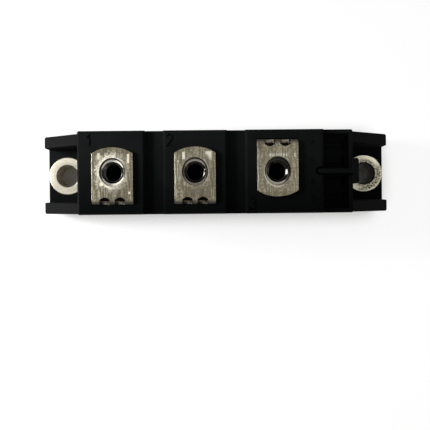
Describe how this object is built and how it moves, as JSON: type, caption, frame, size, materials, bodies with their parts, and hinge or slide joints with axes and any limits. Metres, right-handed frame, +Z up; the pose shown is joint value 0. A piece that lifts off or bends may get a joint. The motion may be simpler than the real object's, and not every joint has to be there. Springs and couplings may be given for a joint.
{
  "type": "dual diode module",
  "caption": "Black moulded power module on a flat metal base, with screw terminals on top of stepped blocks and a bushed mounting hole between fins at each end.",
  "frame": {"origin": "centre of the base plate's underside, midway between the mounting holes", "axes": "+X from terminal 1 to terminal 3, +Z up through the terminal screws"},
  "size_m": [0.091, 0.0204, 0.03],
  "materials": {
    "base_plating": "nickel-plated copper, satin",
    "housing_plastic": "black moulded thermoplastic, fine matt grain",
    "bush_steel": "zinc-plated turned steel",
    "terminal_plating": "nickel-plated copper, lightly scratched",
    "nut_steel": "zinc-plated steel",
    "copper": "bare copper",
    "tile_ceramic": "white alumina",
    "molybdenum": "bare molybdenum",
    "silicon": "passivated silicon",
    "adhesive": "cured silicone adhesive",
    "gel": "clear soft gel",
    "resin": "filled epoxy resin"
  },
  "bodies": {
    "root": {"base_plate": "base_plating", "housing": "housing_plastic", "mounting_bush_left": "bush_steel", "mounting_bush_right": "bush_steel", "terminal_1": "terminal_plating", "terminal_2": "terminal_plating", "terminal_3": "terminal_plating", "terminal_nuts": "nut_steel", "lower_foil_left": "copper", "lower_foil_right": "copper", "ceramic_tile_left": "tile_ceramic", "ceramic_tile_right": "tile_ceramic", "circuit_foil_left": "copper", "circuit_foil_right": "copper", "lower_disc_left": "molybdenum", "lower_disc_right": "molybdenum", "diode_chip_left": "silicon", "diode_chip_right": "silicon", "upper_disc_left": "molybdenum", "upper_disc_right": "molybdenum", "midpoint_link": "copper", "adhesive_seal": "adhesive", "silicone_gel": "gel", "epoxy_fill": "resin"}
  },
  "joints": []
}
